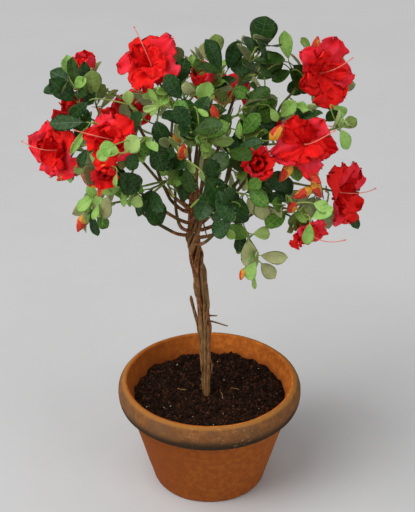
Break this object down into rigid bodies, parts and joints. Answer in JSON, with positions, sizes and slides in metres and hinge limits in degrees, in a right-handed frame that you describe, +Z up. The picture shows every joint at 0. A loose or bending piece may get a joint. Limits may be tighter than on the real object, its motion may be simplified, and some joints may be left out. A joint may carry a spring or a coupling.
{
  "type": "azalea shrub",
  "caption": "Small standard azalea with a trunk of twisted woody stems and a loose round crown of leaves, double red blooms and buds, standing in a round rolled-rim clay pot of dark soil.",
  "frame": {"origin": "centre of the pot's flat underside, which stands on the ground", "axes": "+Z up along the trunk, -Y towards the front of the plant, +X to the right as seen from the front"},
  "size_m": [0.3472, 0.256, 0.5468],
  "materials": {
    "clay": "weathered matt orange clay, browner and darker round the rim, with pale mineral marks",
    "soil": "dark crumbly compost, matt",
    "bark": "rough brown bark with reddish and grey-olive patches",
    "foliage": "satin dark green and pale green leaves, with vivid red blooms and orange-red buds"
  },
  "bodies": {
    "root": {"pot": "clay", "soil": "soil", "stem_thick": "bark", "stem_right": "bark", "stem_back": "bark", "vine_low": "bark", "vine_high": "bark", "vine_front": "bark", "bough_top_middle": "bark", "bough_centre": "bark", "bough_top_left": "bark", "bough_top": "bark", "bough_rear_top": "bark", "bough_centre_right": "bark", "bough_upper_left": "bark", "bough_top_right": "bark", "bough_left_front": "bark", "bough_inner_left": "bark", "bough_rear_middle": "bark", "bough_right": "bark", "bough_middle_right": "bark", "bough_rear_left": "bark", "bough_left_rear": "bark", "bough_front": "bark", "bough_rear_right": "bark", "bough_left": "bark", "bough_low_left": "bark", "bough_far_right": "bark", "bough_rear_low": "bark", "bough_left_low": "bark", "bough_low_right": "bark", "bough_low_front": "bark", "mass_upper_left": "foliage", "mass_left_rear": "foliage", "mass_left": "foliage", "mass_left_front": "foliage", "mass_left_low": "foliage", "mass_low_left": "foliage", "mass_inner_left": "foliage", "mass_top_left": "foliage", "mass_top_middle": "foliage", "mass_top": "foliage", "mass_top_right": "foliage", "mass_right": "foliage", "mass_centre_right": "foliage", "mass_far_right": "foliage", "mass_low_right": "foliage", "mass_middle_right": "foliage", "mass_front": "foliage", "mass_low_front": "foliage", "mass_centre": "foliage", "mass_rear_middle": "foliage", "mass_rear_left": "foliage", "mass_rear_right": "foliage", "mass_rear_low": "foliage", "mass_rear_top": "foliage"}
  },
  "joints": []
}
